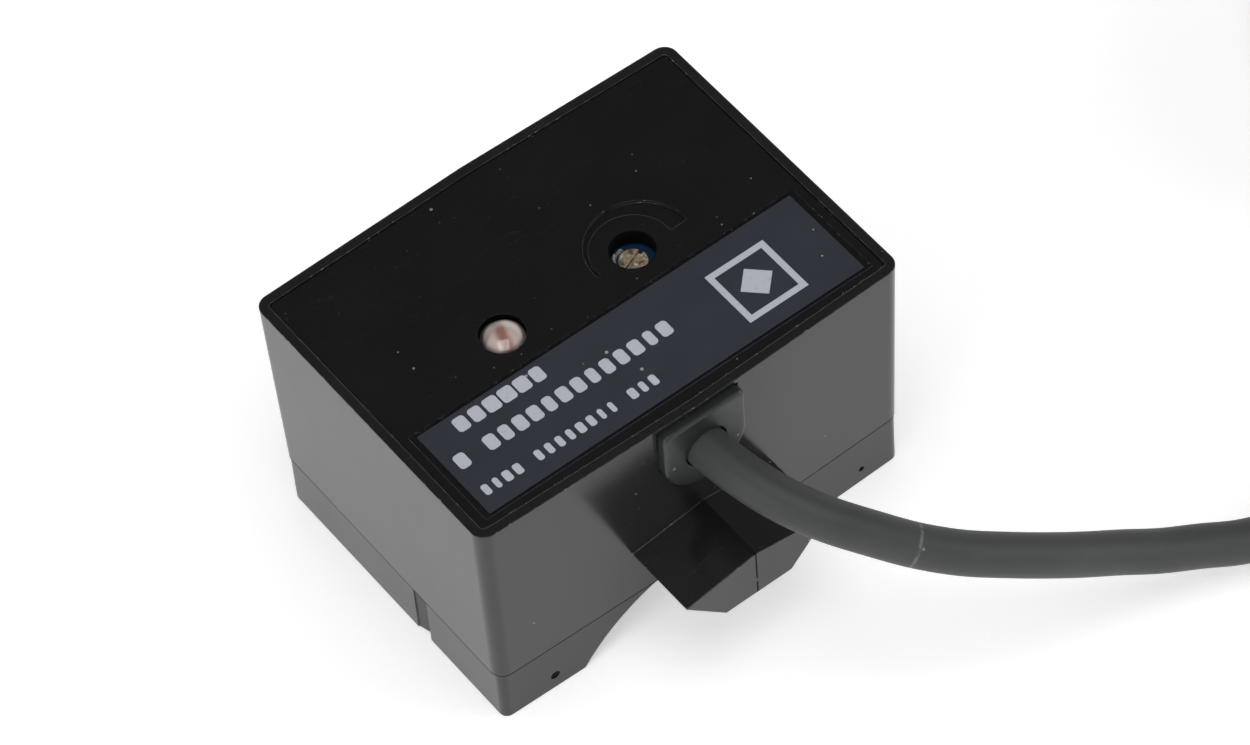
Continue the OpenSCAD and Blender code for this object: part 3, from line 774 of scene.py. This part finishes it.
class SENSOR_OT_cores(bpy.types.Operator):
    """Makes the free ends of the three conductors and their tinned tips"""
    bl_idname = "sensor.cores"
    bl_label = "Conductors"

    def execute(self, context):
        cable = context.scene.sensor_cable
        s = context.scene.sensor_cores
        tinned = metal_finish("tinned strands", (0.62, 0.62, 0.63), 0.32)
        for index, colour in enumerate(("brown", "black", "blue")):
            line = core_line(index, cable, s)
            done = distance_along(line)
            bare = done > done[-1] - s.tip_length
            self.insulation(colour, line[~bare], s, getattr(s, colour))
            self.strands(colour, line[bare], s, tinned)
        return {"FINISHED"}

    def insulation(self, colour, line, s, shade):
        radius = s.diameter / 2
        radii = np.full(len(line), radius)
        radii[[0, -1]] = 0.0
        radii[-2] = radius * 0.9
        piece = grid_piece("core_" + colour + "_end", tube(line, radii, 14),
                           plastic_finish(colour + " insulation", shade, 0.38))
        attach(piece, "sensor")
        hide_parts("lead_" + colour)

    def strands(self, colour, line, s, tinned):
        """A round bundle whose surface rises and falls seven times round, slowly twisting."""
        sides, radius, swell, twist_rate = 42, 0.33, 0.08, 900.0
        angle = np.linspace(0.0, 2 * np.pi, sides, endpoint=False)
        twist = distance_along(line)[:, None] * twist_rate
        lobes = np.abs(np.sin(3.5 * angle[None] + twist / 2))
        radii = (radius + swell * lobes) * MM
        radii[[0, -1]] = 0.0
        piece = grid_piece("tip_" + colour, tube(line, radii, sides), tinned)
        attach(piece, "sensor")
        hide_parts("lead_tips")


class SENSOR_OT_tie(bpy.types.Operator):
    """Makes the band that holds the coil, and its head"""
    bl_idname = "sensor.tie"
    bl_label = "Coil tie"

    def execute(self, context):
        s = context.scene.sensor_cable
        turn, up = math.radians(130), np.array([0.0, 0.0, 1.0])
        outward = np.array([math.cos(turn), math.sin(turn), 0.0])
        around = np.array([-math.sin(turn), math.cos(turn), 0.0])
        centre = np.array([*s.coil_centre, 0.0])
        finish = plastic_finish("black tie", (0.012, 0.012, 0.013), 0.34)
        loop, away = self.loop(s)
        band = self.band_section()
        across = (loop[:, None] + away[:, None] * band[None, :, 1:])
        grid = centre + across[..., :1] * outward + across[..., 1:] * up + band[None, :, :1] * around
        piece = grid_piece("coil_tie_band", grid, finish, round_v=True)
        place = centre + outward * (s.coil_radius + 0.4 * s.diameter) + up * (3 * s.diameter + 0.9 * MM)
        for piece in (piece, self.head(place, outward, around, finish)):
            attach(piece, "sensor")
            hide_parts("coil_tie")
        return {"FINISHED"}

    def loop(self, s):
        """A taut line round the coil's strands: straight between them and an arc about each corner
        strand's centre. Columns are distance from the coil's axis and height."""
        d = s.diameter
        out, mid, inner = s.coil_radius + d, s.coil_radius, s.coil_radius - d
        low = 0.5 * d + 0.63 * MM
        corners = np.array([[out, low], [out, 2.5 * d], [mid, 2.5 * d], [inner, 1.5 * d], [inner, low]])
        edge = np.roll(corners, -1, axis=0) - corners
        facing = np.unwrap(np.arctan2(-edge[:, 0], edge[:, 1]))
        before = np.roll(facing, 1)
        before[0] = facing[-1] - 2 * np.pi
        share = np.linspace(0.0, 1.0, 9)
        angle = before[:, None] + (facing - before)[:, None] * share
        away = np.stack([np.cos(angle), np.sin(angle)], 2)
        points = corners[:, None] + away * (d / 2 + 0.02 * MM)
        return points.reshape(-1, 2), away.reshape(-1, 2)

    def band_section(self):
        """Half width 2 mm and 0.6 mm thick with rounded corners: place along the coil, and outward."""
        half, thick, r = 2.0 * MM, 0.6 * MM, 0.2 * MM
        return np.vstack([
            arc((half - r, thick - r), r, 0, 90, 5), arc((r - half, thick - r), r, 90, 180, 5),
            [[-half, -0.2 * MM], [half, -0.2 * MM]],
        ])

    def head(self, centre, outward, around, finish):
        """A superellipsoid: a box whose edges and corners are rounded by taking roots of sine and cosine."""
        half_out, half_along, half_high = 2.3 * MM, 2.7 * MM, 1.3 * MM

        def root(x):
            return np.sign(x) * np.abs(x) ** 0.4

        a = np.linspace(-np.pi / 2, np.pi / 2, 25)[:, None, None]
        b = np.linspace(-np.pi, np.pi, 48, endpoint=False)[None, :, None]
        grid = (centre + outward * half_out * root(np.cos(a)) * root(np.cos(b))
                + around * half_along * root(np.cos(a)) * root(np.sin(b))
                + np.array([0.0, 0.0, 1.0]) * half_high * root(np.sin(a)))
        return grid_piece("coil_tie_head", grid, finish)


class SENSOR_OT_declare_cord(bpy.types.Operator):
    bl_idname = "sensor.declare_cord"
    bl_label = "Declare cord"

    def execute(self, context):
        s = context.scene.sensor_cable
        cable_line(s).tolist()
        return {"FINISHED"}


# --- bushing

def u_outline(half, bottom_centre, top, corner, steps):
    """A U seen from the front: a half circle below, straight sides and a flat top with round corners.
    Starts at the lowest point and runs round through +X."""
    below = arc((0.0, bottom_centre), half, -90, 0, steps)
    right = arc((half - corner, top - corner), corner, 0, 90, 7)
    left = arc((corner - half, top - corner), corner, 90, 180, 7)
    rest = arc((0.0, bottom_centre), half, 180, 270, steps)[:-1]
    side_up = np.linspace(below[-1], right[0], 8)[1:-1]
    side_down = np.linspace(left[-1], rest[0], 8)[1:-1]
    across = np.linspace(right[-1], left[0], 12)[1:-1]
    return np.vstack([below, side_up, right, across, left, side_down, rest])


class SENSOR_OT_bushing(bpy.types.Operator):
    """Makes the rubber bushing with its rounded face and flared cable mouth"""
    bl_idname = "sensor.bushing"
    bl_label = "Cable bushing"

    def execute(self, context):
        low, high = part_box("cable_bushing")
        axis_z = 22.2 * MM
        half, flange = 4.2 * MM, 5.3 * MM
        top, flange_top = high[2], 24.7 * MM
        front, back = low[1], high[1]
        shoulder, flange_front = front + 1.75 * MM, back - 1.05 * MM
        bore, mouth, edge = 1.95 * MM, 2.22 * MM, 0.34 * MM
        corner, flange_corner, lip = 0.55 * MM, 0.3 * MM, 0.15 * MM
        outer = u_outline(half, axis_z, top, corner, 22)
        lower = u_outline(half, axis_z, flange_top, flange_corner, 22)
        wide = u_outline(flange, axis_z, flange_top, flange_corner, 22)
        angle = np.arctan2(outer[:, 1] - axis_z, outer[:, 0])

        def ring(radius):
            return np.stack([radius * np.cos(angle), axis_z + radius * np.sin(angle)], 1)

        def shrunk(by):
            """The outline drawn in by a distance on every side."""
            return u_outline(half - by, axis_z, top - by, max(corner - by * 0.5, 0.1 * MM), 22)

        rows = [(ring(bore), back), (wide, back), (wide, flange_front), (lower, flange_front),
                (lower, shoulder), (outer, shoulder), (outer, front + edge + 0.3 * MM)]
        for turn in np.radians(np.linspace(0, 90, 9)):
            rows.append((shrunk(edge * (1 - math.cos(turn))), front + edge * (1 - math.sin(turn))))
        face = shrunk(edge)
        for share in (0.25, 0.5, 0.75, 0.92):
            rows.append((face * (1 - share) + ring(mouth) * share, front))
        for turn in np.radians(np.linspace(0, 90, 6)):
            rows.append((ring(mouth - lip * math.sin(turn)), front + lip * (1 - math.cos(turn))))
        rows += [(ring(bore + 0.08 * MM), front + 0.75 * MM), (ring(bore), front + 0.95 * MM)]
        grid = np.stack([np.stack([o[:, 0], np.full(len(o), y), o[:, 1]], 1) for o, y in rows])
        finish = rubber_finish("bushing rubber", (0.0110, 0.0130, 0.0130), 0.25)
        piece = grid_piece("rubber_bushing", grid, finish, round_v=True)
        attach(piece, "sensor")
        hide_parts("cable_bushing")
        return {"FINISHED"}


# --- lamp

class SENSOR_OT_lamp(bpy.types.Operator):
    """Makes the clear domed lens and the milky moulding inside it, and finishes the legs"""
    bl_idname = "sensor.lamp"
    bl_label = "Lamp"

    def execute(self, context):
        s = context.scene.sensor_lamp
        low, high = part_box("lamp_lens")
        radius = (high[0] - low[0]) / 2
        rise = 0.75 * MM
        shoulder = high[2] - rise
        inner = radius - 0.12 * MM
        ball = (radius**2 + rise**2) / (2 * rise)
        span = math.degrees(math.asin((radius - 0.08 * MM) / ball))
        skin, gap = 0.22 * MM, 0.02 * MM
        hollow = math.degrees(math.asin(inner / (ball - skin)))
        outside = arc((0.0, high[2] - ball), ball, 90, 90 - span, 22)
        inside = arc((0.0, high[2] - ball), ball - skin, 90 - hollow, 90, 22)
        profile = np.vstack([outside, [[radius, shoulder - 0.1 * MM], [radius, low[2]], [inner, low[2]]],
                             inside])
        lens = grid_piece("lamp_dome", turned(profile, LAMP_AXIS), self.clear())
        core = self.core(s, low[2], high[2] - skin - gap, inner - 0.03 * MM, ball - skin - gap)
        for piece, slot, node in ((lens, "lens", "lamp_lens"), (core, "lamp_core", "lamp_body")):
            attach(piece, "sensor")
            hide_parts(node)
        dress(NODES["lamp_legs"], metal_finish("lamp legs", (0.60, 0.60, 0.61)))
        return {"FINISHED"}

    def clear(self):
        """Clear moulded plastic with a little haze."""
        made, n = material("clear lens")
        here = n.place()
        cloudy = n.noise(here, 1100.0, 3.0)
        dust = n.specks(here, 1500.0, 0.16, 0.08)
        n.surface(Base_Color=n.mix(dust * 0.5, (0.98, 0.97, 0.96), (0.8, 0.8, 0.78)),
                  Roughness=0.03 + cloudy * 0.06 + dust * 0.3, IOR=1.49, Transmission_Weight=1.0,
                  height=cloudy, lift=0.000006)
        return made

    def core(self, s, low, high, radius, ball):
        """The milky moulding that fills the lens: a round block under a dome that follows the lens's.
        Its colour is a tinted bar down the middle between pale flanks, with painted shade darker towards
        one side and a painted dark ring round its edge."""
        span = math.degrees(math.asin((radius - 0.05 * MM) / ball))
        dome = arc((0.0, high - ball), ball, 90, 90 - span, 20)
        profile = np.vstack([dome, [[radius, dome[-1][1] - 0.05 * MM], [radius, low], [0.0, low]]])
        made, n = material("lamp moulding")
        here = n.place(turn=(0.0, 0.0, math.radians(14)), centre=(LAMP_AXIS[0], LAMP_AXIS[1], 0.0))
        x, y, _ = n.axes(here)
        cloudy = n.noise(here, 900.0, 3.0)
        waver = (cloudy - 0.5) * 0.0004
        bar = 1.0 - abs(x + 0.0001 + waver).step(0.12 * MM, 0.80 * MM)
        # Painted shade: a dark ring round the edge.
        rim_shade = (x * x + y * y).step((0.70 * radius)**2, (0.98 * radius)**2)
        # Painted shade: darker towards one side.
        shade = (y - x * 0.8 + waver * 2.0).step(0.70 * MM, 1.50 * MM)
        pale = n.mix(bar, s.moulding, s.resin)
        n.surface(Base_Color=n.mix((rim_shade * 0.75 + shade * 0.6).lowest(0.92), pale, (0.05, 0.035, 0.04)),
                  Roughness=0.30 + cloudy * 0.1, height=cloudy, lift=0.00001)
        return grid_piece("lamp_moulding", turned(profile, LAMP_AXIS), made)


# --- adjuster

class SENSOR_OT_adjuster(bpy.types.Operator):
    """Finishes the slotted rotor, its wiper, track, pins and blue body, and adds dried locking lacquer"""
    bl_idname = "sensor.adjuster"
    bl_label = "Adjuster"

    def execute(self, context):
        s = context.scene.sensor_adjuster
        dress(NODES["adjuster_rotor"], rotor_finish(s.metal))
        dress(NODES["adjuster_wiper"], metal_finish("contact metal", (0.72, 0.54, 0.24), 0.25))
        dress(NODES["adjuster_track"], plastic_finish("fired track", (0.62, 0.58, 0.50), 0.45))
        dress(NODES["adjuster_pins"], metal_finish("adjuster pins", (0.60, 0.60, 0.61)))
        dress(NODES["adjuster_body"], plastic_finish("blue moulding", s.body, 0.22))
        lacquer = self.lacquer(s)
        body_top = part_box("adjuster_body")[1][2]
        rotor_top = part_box("adjuster_rotor")[1][2]
        on_body = ((138, 1.67, 34, 0.27, 0.80), (182, 1.69, 24, 0.26, 0.60), (100, 1.68, 20, 0.22, 0.40))
        on_rotor = ((150, 0.80, 28, 0.30, 0.26), (245, 0.85, 20, 0.22, 0.16))
        for index, (angle, place, reach, width, height) in enumerate(on_body + on_rotor):
            own = index < len(on_body)
            piece = self.dab(index, math.radians(angle), place * MM, math.radians(reach), width * MM,
                             height * MM, body_top if own else rotor_top, lacquer)
            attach(piece, "sensor" if own else "adjuster")
        return {"FINISHED"}

    def lacquer(self, s):
        """Brittle, half clear lacquer with a crazed top."""
        made, n = material("locking lacquer")
        here = n.place()
        cloudy = n.noise(here, 2600.0, 4.0)
        n.surface(Base_Color=n.mix(cloudy, s.lacquer, tuple(c * 0.5 for c in s.lacquer)),
                  Roughness=0.15 + cloudy * 0.25, Alpha=0.45 + cloudy * 0.6, height=cloudy, lift=0.00008)
        return made

    def dab(self, index, angle, place, reach, width, height, base, finish):
        """A flake of lacquer bent round the adjuster's axis: an oval whose edge wavers with three and
        five waves round it and whose top is a low dome with ripples; its underside is flat."""
        a = np.linspace(0.0, 2 * np.pi, 48, endpoint=False)[None]
        share = np.concatenate([np.linspace(0.0, 1.0, 12), [1.0, 0.0]])[:, None]
        waver = (1 + 0.22 * np.sin(3 * a + index) + 0.14 * np.sin(5 * a + 2.3 * index)) / 1.36
        radius = place + share * width * waver * np.cos(a)
        turn = angle + share * reach * waver * np.sin(a)
        ripple = 1 + 0.35 * np.sin(2 * a + 6 * share + index) * share
        up = height * (1 - share**2) * ripple + 0.03 * MM
        up[-2:] = 0.0
        grid = np.stack([ADJUSTER_AXIS[0] + radius * np.cos(turn), ADJUSTER_AXIS[1] + radius * np.sin(turn),
                         base + up], 2)
        return grid_piece("lacquer_dab_%d" % (index + 1), grid, finish)


# --- case and label

class SENSOR_OT_case(bpy.types.Operator):
    """Finishes the case shell, the base, the top panel and the two seals"""
    bl_idname = "sensor.case"
    bl_label = "Case"

    def execute(self, context):
        s = context.scene.sensor_case
        # Painted shade: the case colour darkened so that the top panel reads darker.
        panel_shaded_colour = tuple(c * 0.62 for c in s.colour)
        dress(NODES["case_shell"],
              black_moulding("case plastic", s.colour, s.edge_radius, 0.15, 0.30, 0.035, case_painted_shade))
        dress(NODES["base_cover"], black_moulding("base plastic", s.colour, s.edge_radius, 0.20, 0.45, 0.03))
        dress(NODES["top_panel"],
              black_moulding("panel plastic", panel_shaded_colour, 0.08 * MM, 0.05, 0.05, 0.045, panel_painted_shade))
        for name in ("panel_seal", "base_seal"):
            dress(NODES[name], rubber_finish(name.replace("_", " "), (0.030, 0.030, 0.030)))
        return {"FINISHED"}


class SENSOR_OT_label(bpy.types.Operator):
    """Finishes the film label with rows of plain blocks and a plain square badge in place of words"""
    bl_idname = "sensor.label"
    bl_label = "Label"

    def execute(self, context):
        s = context.scene.sensor_label
        low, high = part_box("name_label")
        made, n = material("label film")
        here = n.place()
        centre = ((low[0] + high[0]) / 2, (low[1] + high[1]) / 2, 0.0)
        x, y, _ = n.axes(n.place(scale=(1000.0, 1000.0, 1000.0), centre=centre))
        rows = (self.bars(n, x, y, -18.3, -7.3, 3.75, 1.55, 1.57, 0.76),
                self.bars(n, x, y, -18.9, 3.6, 0.70, 1.60, 1.50, 0.66),
                self.bars(n, x, y, -18.9, -0.5, -2.90, 1.15, 1.08, 0.54))
        ink = rows[0].highest(rows[1]).highest(rows[2]).highest(self.badge(x, y))
        wear = n.noise(here, 2400.0, 4.0).step(0.28, 0.42)
        cloudy = n.noise(here, 350.0, 4.0)
        dust = n.specks(here, 900.0, 0.15, 0.10)
        film = n.mix(cloudy, tuple(c * 0.85 for c in s.film), tuple(c * 1.25 for c in s.film))
        printed = n.mix(ink * (0.86 + wear * 0.14), film, s.print_colour)
        fine = n.noise(here, 5200.0, 2.0)
        n.surface(
            Base_Color=n.mix(dust * 0.5, printed, (0.6, 0.6, 0.58)),
            Roughness=0.36 + fine * 0.12 + cloudy * 0.06 - ink * 0.05,
            rounded=0.05 * MM,
            height=fine * 0.5 + ink * 0.5 + dust,
            lift=0.000008,
        )
        dress(NODES["name_label"], made)
        return {"FINISHED"}

    def bars(self, n, x, y, left, right, middle, height, pitch, filled):
        """A row of upright blocks with round corners between left and right, in millimetres. A lot
        drawn for each cell of the row sets its block's width, and leaves a few cells empty."""
        along = (x - left) / pitch
        lot = n.node("TexWhiteNoise", {"noise_dimensions": "1D"}, {"W": along.floor() + middle * 7.0})
        half = pitch * (lot * 0.14 + filled / 2 - 0.07)
        corner = 0.22 * height
        across = (abs(along.fraction() - 0.5) * pitch - half + corner).highest(0.0)
        up = (abs(y - middle) - (height / 2 - corner)).highest(0.0)
        return (across * across + up * up < corner**2) * (x > left) * (x < right) * (lot > 0.10)

    def badge(self, x, y):
        """A square frame with a diamond in it."""
        across, up = abs(x - 11.8), abs(y + 0.35)
        far = across.highest(up)
        frame_line = (far < 3.1) * (far > 2.5)
        return frame_line.highest(across + up < 1.7)


# --- inner pieces

class SENSOR_OT_electronics(bpy.types.Operator):
    """Finishes the board and everything on it, the sensing parts and the inner ends of the conductors"""
    bl_idname = "sensor.electronics"
    bl_label = "Electronics"

    def execute(self, context):
        cores = context.scene.sensor_cores
        dress(NODES["circuit_board"], board_finish())
        resin = plastic_finish("chip resin", (0.016, 0.016, 0.017), 0.42)
        tinned = metal_finish("tinned legs", (0.60, 0.60, 0.61), 0.25)
        finishes = {
            "detector_chip": resin, "output_transistor": resin, "surge_diode": resin,
            "detector_leads": tinned, "transistor_leads": tinned, "electrode_pin": tinned,
            "shield_pin": tinned,
            "smoothing_capacitor": metal_finish("capacitor can", (0.66, 0.68, 0.70), 0.20),
            "chip_capacitors": plastic_finish("fired capacitor", (0.32, 0.20, 0.10), 0.45),
            "chip_resistors": plastic_finish("resistor film", (0.018, 0.018, 0.022), 0.35),
            "solder_joints": metal_finish("solder", (0.66, 0.67, 0.68), 0.16),
            "sensing_electrode": metal_finish("copper foil", (0.72, 0.34, 0.18), 0.24),
            "electrode_holder": plastic_finish("natural moulding", (0.60, 0.57, 0.48), 0.40, 1.15),
            "shield_plate": metal_finish("tinned sheet", (0.60, 0.61, 0.62), 0.22),
            "crimp_ring": metal_finish("crimp steel", (0.56, 0.57, 0.58), 0.24),
            "core_brown": plastic_finish("inner brown", cores.brown, 0.38),
            "core_black": plastic_finish("inner black", cores.black, 0.38),
            "core_blue": plastic_finish("inner blue", cores.blue, 0.38),
        }
        for name, finish in finishes.items():
            dress(NODES[name], finish)
        return {"FINISHED"}


# --- add-on

OPERATORS = (SENSOR_OT_stage, SENSOR_OT_cable, SENSOR_OT_cores, SENSOR_OT_tie, SENSOR_OT_declare_cord,
             SENSOR_OT_case, SENSOR_OT_label, SENSOR_OT_bushing, SENSOR_OT_lamp, SENSOR_OT_adjuster,
             SENSOR_OT_electronics)


class SENSOR_PT_panel(bpy.types.Panel):
    """Lists the sensor's operators in the 3D view's sidebar"""
    bl_idname = "SENSOR_PT_panel"
    bl_label = "Proximity sensor"
    bl_space_type = "VIEW_3D"
    bl_region_type = "UI"
    bl_category = "Sensor"

    def draw(self, context):
        for operator in OPERATORS:
            self.layout.operator(operator.bl_idname)


def register():
    for group in SETTINGS.values():
        bpy.utils.register_class(group)
    for name, group in SETTINGS.items():
        setattr(bpy.types.Scene, name, PointerProperty(type=group))
    for made in (*OPERATORS, SENSOR_PT_panel):
        bpy.utils.register_class(made)


def unregister():
    for made in (SENSOR_PT_panel, *reversed(OPERATORS)):
        bpy.utils.unregister_class(made)
    for name in SETTINGS:
        delattr(bpy.types.Scene, name)
    for group in reversed(SETTINGS.values()):
        bpy.utils.unregister_class(group)


def main():
    register()
    for operator in OPERATORS:
        group, name = operator.bl_idname.split(".")
        getattr(getattr(bpy.ops, group), name)()


if __name__ == "__main__":
    main()
